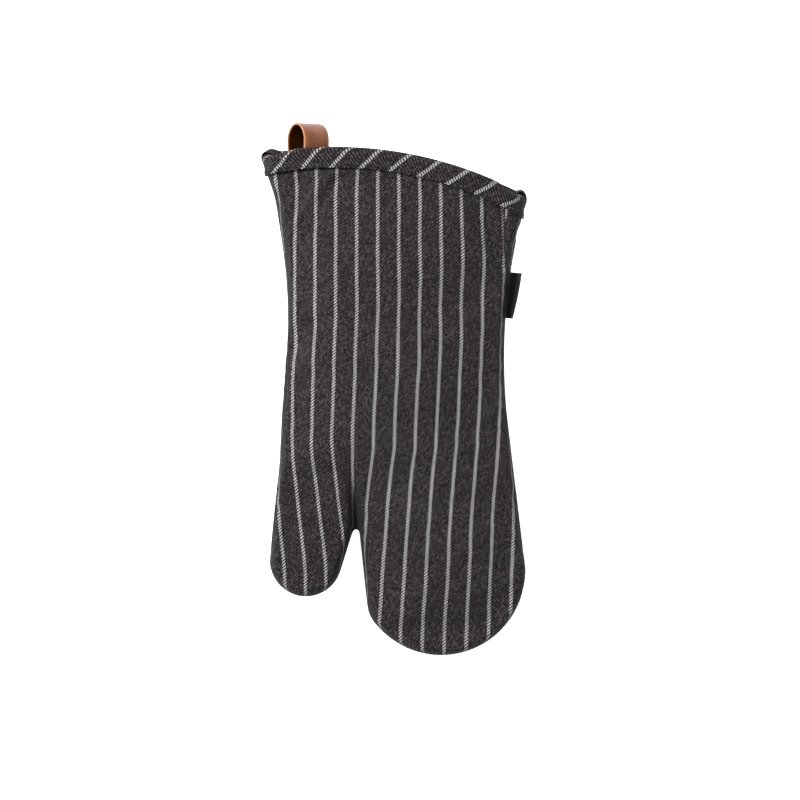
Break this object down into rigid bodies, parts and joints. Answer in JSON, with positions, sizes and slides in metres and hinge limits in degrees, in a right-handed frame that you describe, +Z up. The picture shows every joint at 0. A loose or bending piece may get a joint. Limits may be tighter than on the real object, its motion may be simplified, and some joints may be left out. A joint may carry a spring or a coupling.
{
  "type": "oven mitt",
  "caption": "Padded pinstripe twill oven mitt with thumb, bias-bound flared cuff, swinging leather hanging loop and blank folded side label.",
  "frame": {"origin": "bottom centre of the bounding box of the mitt lying on its back, on the surface it rests on", "axes": "+Z up through the mitt's front, +Y from the fingertips to the cuff, +X to the side with the label, thumb at -X"},
  "size_m": [0.1741, 0.3458, 0.04],
  "materials": {
    "twill": "charcoal cotton twill with pale pinstripes",
    "bias_twill": "the same twill cut on the bias",
    "wadding": "soft insulating wadding",
    "lining": "plain dark cotton",
    "thread": "dark sewing thread",
    "leather": "smooth tan leather, cut edges",
    "loop_thread": "tan sewing thread",
    "ribbon": "black woven ribbon, blank"
  },
  "bodies": {
    "mitt": {"outer_front": "twill", "outer_back": "twill", "wadding_front": "wadding", "wadding_back": "wadding", "lining_front": "lining", "lining_back": "lining", "binding_front": "bias_twill", "binding_back": "bias_twill", "binding_thread_front": "thread", "binding_thread_back": "thread", "perimeter_thread": "thread", "loop_tails": "leather", "loop_stitching": "loop_thread", "side_label_tail": "ribbon"},
    "loop": {"hang_loop": "leather"},
    "label": {"side_label": "ribbon"}
  },
  "joints": [
    {"name": "loop_swing", "type": "hinge", "parent": "mitt", "child": "loop", "pos_m": [-0.0562, 0.1611, 0.0185], "axis": [0.7986, 0, -0.6018], "range_deg": [-30, 35]},
    {"name": "label_flap", "type": "hinge", "parent": "mitt", "child": "label", "pos_m": [0.07467, 0.06097, 0.018], "axis": [0.1108, 0.9938, 0], "range_deg": [-80, 80]}
  ]
}
